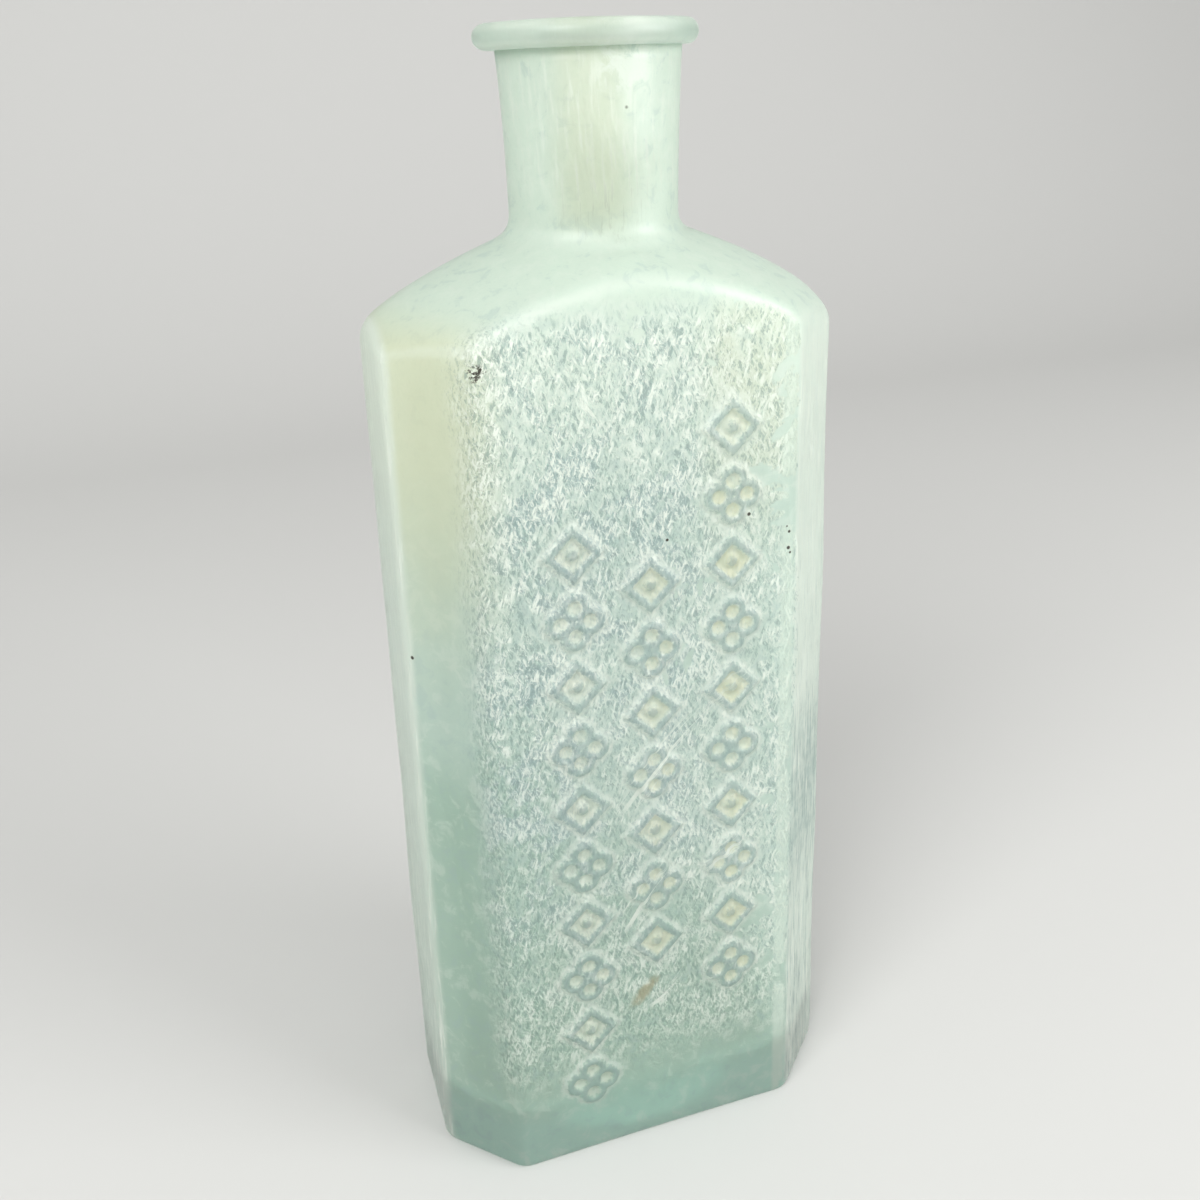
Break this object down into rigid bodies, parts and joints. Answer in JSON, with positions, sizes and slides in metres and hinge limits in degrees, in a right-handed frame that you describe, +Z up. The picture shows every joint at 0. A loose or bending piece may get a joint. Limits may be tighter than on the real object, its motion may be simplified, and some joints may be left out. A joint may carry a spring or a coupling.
{
  "type": "medicine bottle",
  "caption": "Pale aqua glass medicine bottle: chamfered rectangular body, vaulted shoulder, round neck, flanged lip, raised ornament on one face.",
  "frame": {"origin": "middle of the resting face, on the axis of the neck", "axes": "+Z up along the neck's axis, X along the body's width, the face with the raised ornament looks along -Y"},
  "size_m": [0.0692, 0.0414, 0.18],
  "materials": {
    "aqua_glass": "weathered, hazed and scratched",
    "lip_glass": "smooth, seedy"
  },
  "bodies": {
    "root": {"glass_body": "aqua_glass", "applied_lip": "lip_glass"}
  },
  "joints": []
}
